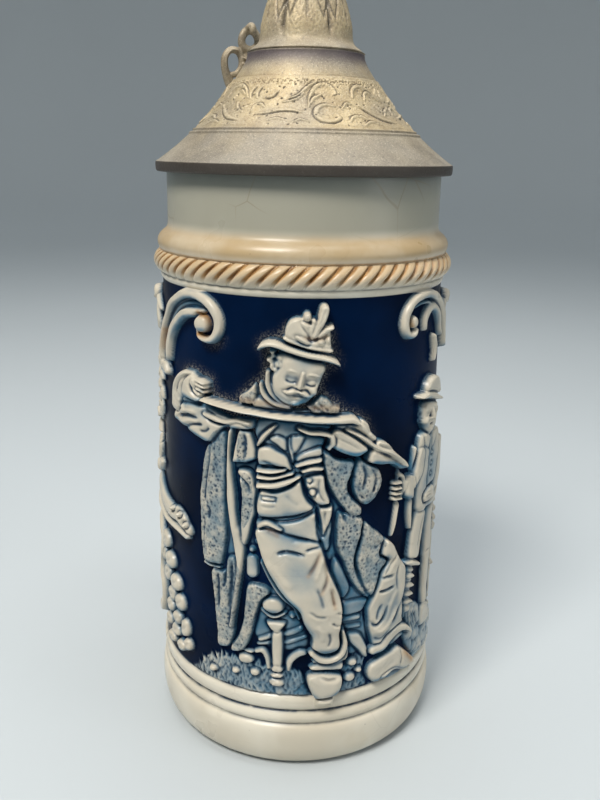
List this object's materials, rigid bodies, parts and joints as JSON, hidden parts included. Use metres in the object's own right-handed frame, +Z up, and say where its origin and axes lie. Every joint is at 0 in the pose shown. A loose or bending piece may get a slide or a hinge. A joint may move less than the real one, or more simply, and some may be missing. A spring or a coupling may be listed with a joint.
{
  "type": "beer stein",
  "caption": "Tall cylindrical ceramic beer stein with an ear handle, rope moulding and a steeple pewter lid that hinges open with a thumblift.",
  "frame": {"origin": "centre of the flat foot, on the surface it stands on", "axes": "+Z up along the mug's axis; +Y towards the handle and the lid's hinge; +X along the hinge pin"},
  "size_m": [0.0874, 0.1304, 0.245],
  "materials": {
    "stoneware": "gloss",
    "pewter": "satin, aged",
    "pin_steel": "satin"
  },
  "bodies": {
    "mug": {"mug_body": "stoneware", "handle": "stoneware", "handle_collar": "pewter", "hinge_strap": "pewter", "hinge_pin": "pin_steel", "pin_end_caps": "pewter"},
    "lid": {"lid_dome": "pewter", "finial": "pewter", "lid_shank": "pewter", "thumblift": "pewter"}
  },
  "joints": [
    {"name": "lid_hinge", "type": "hinge", "parent": "mug", "child": "lid", "pos_m": [0, 0.047, 0.172], "axis": [-1, 0, 0], "range_deg": [0, 105]}
  ]
}
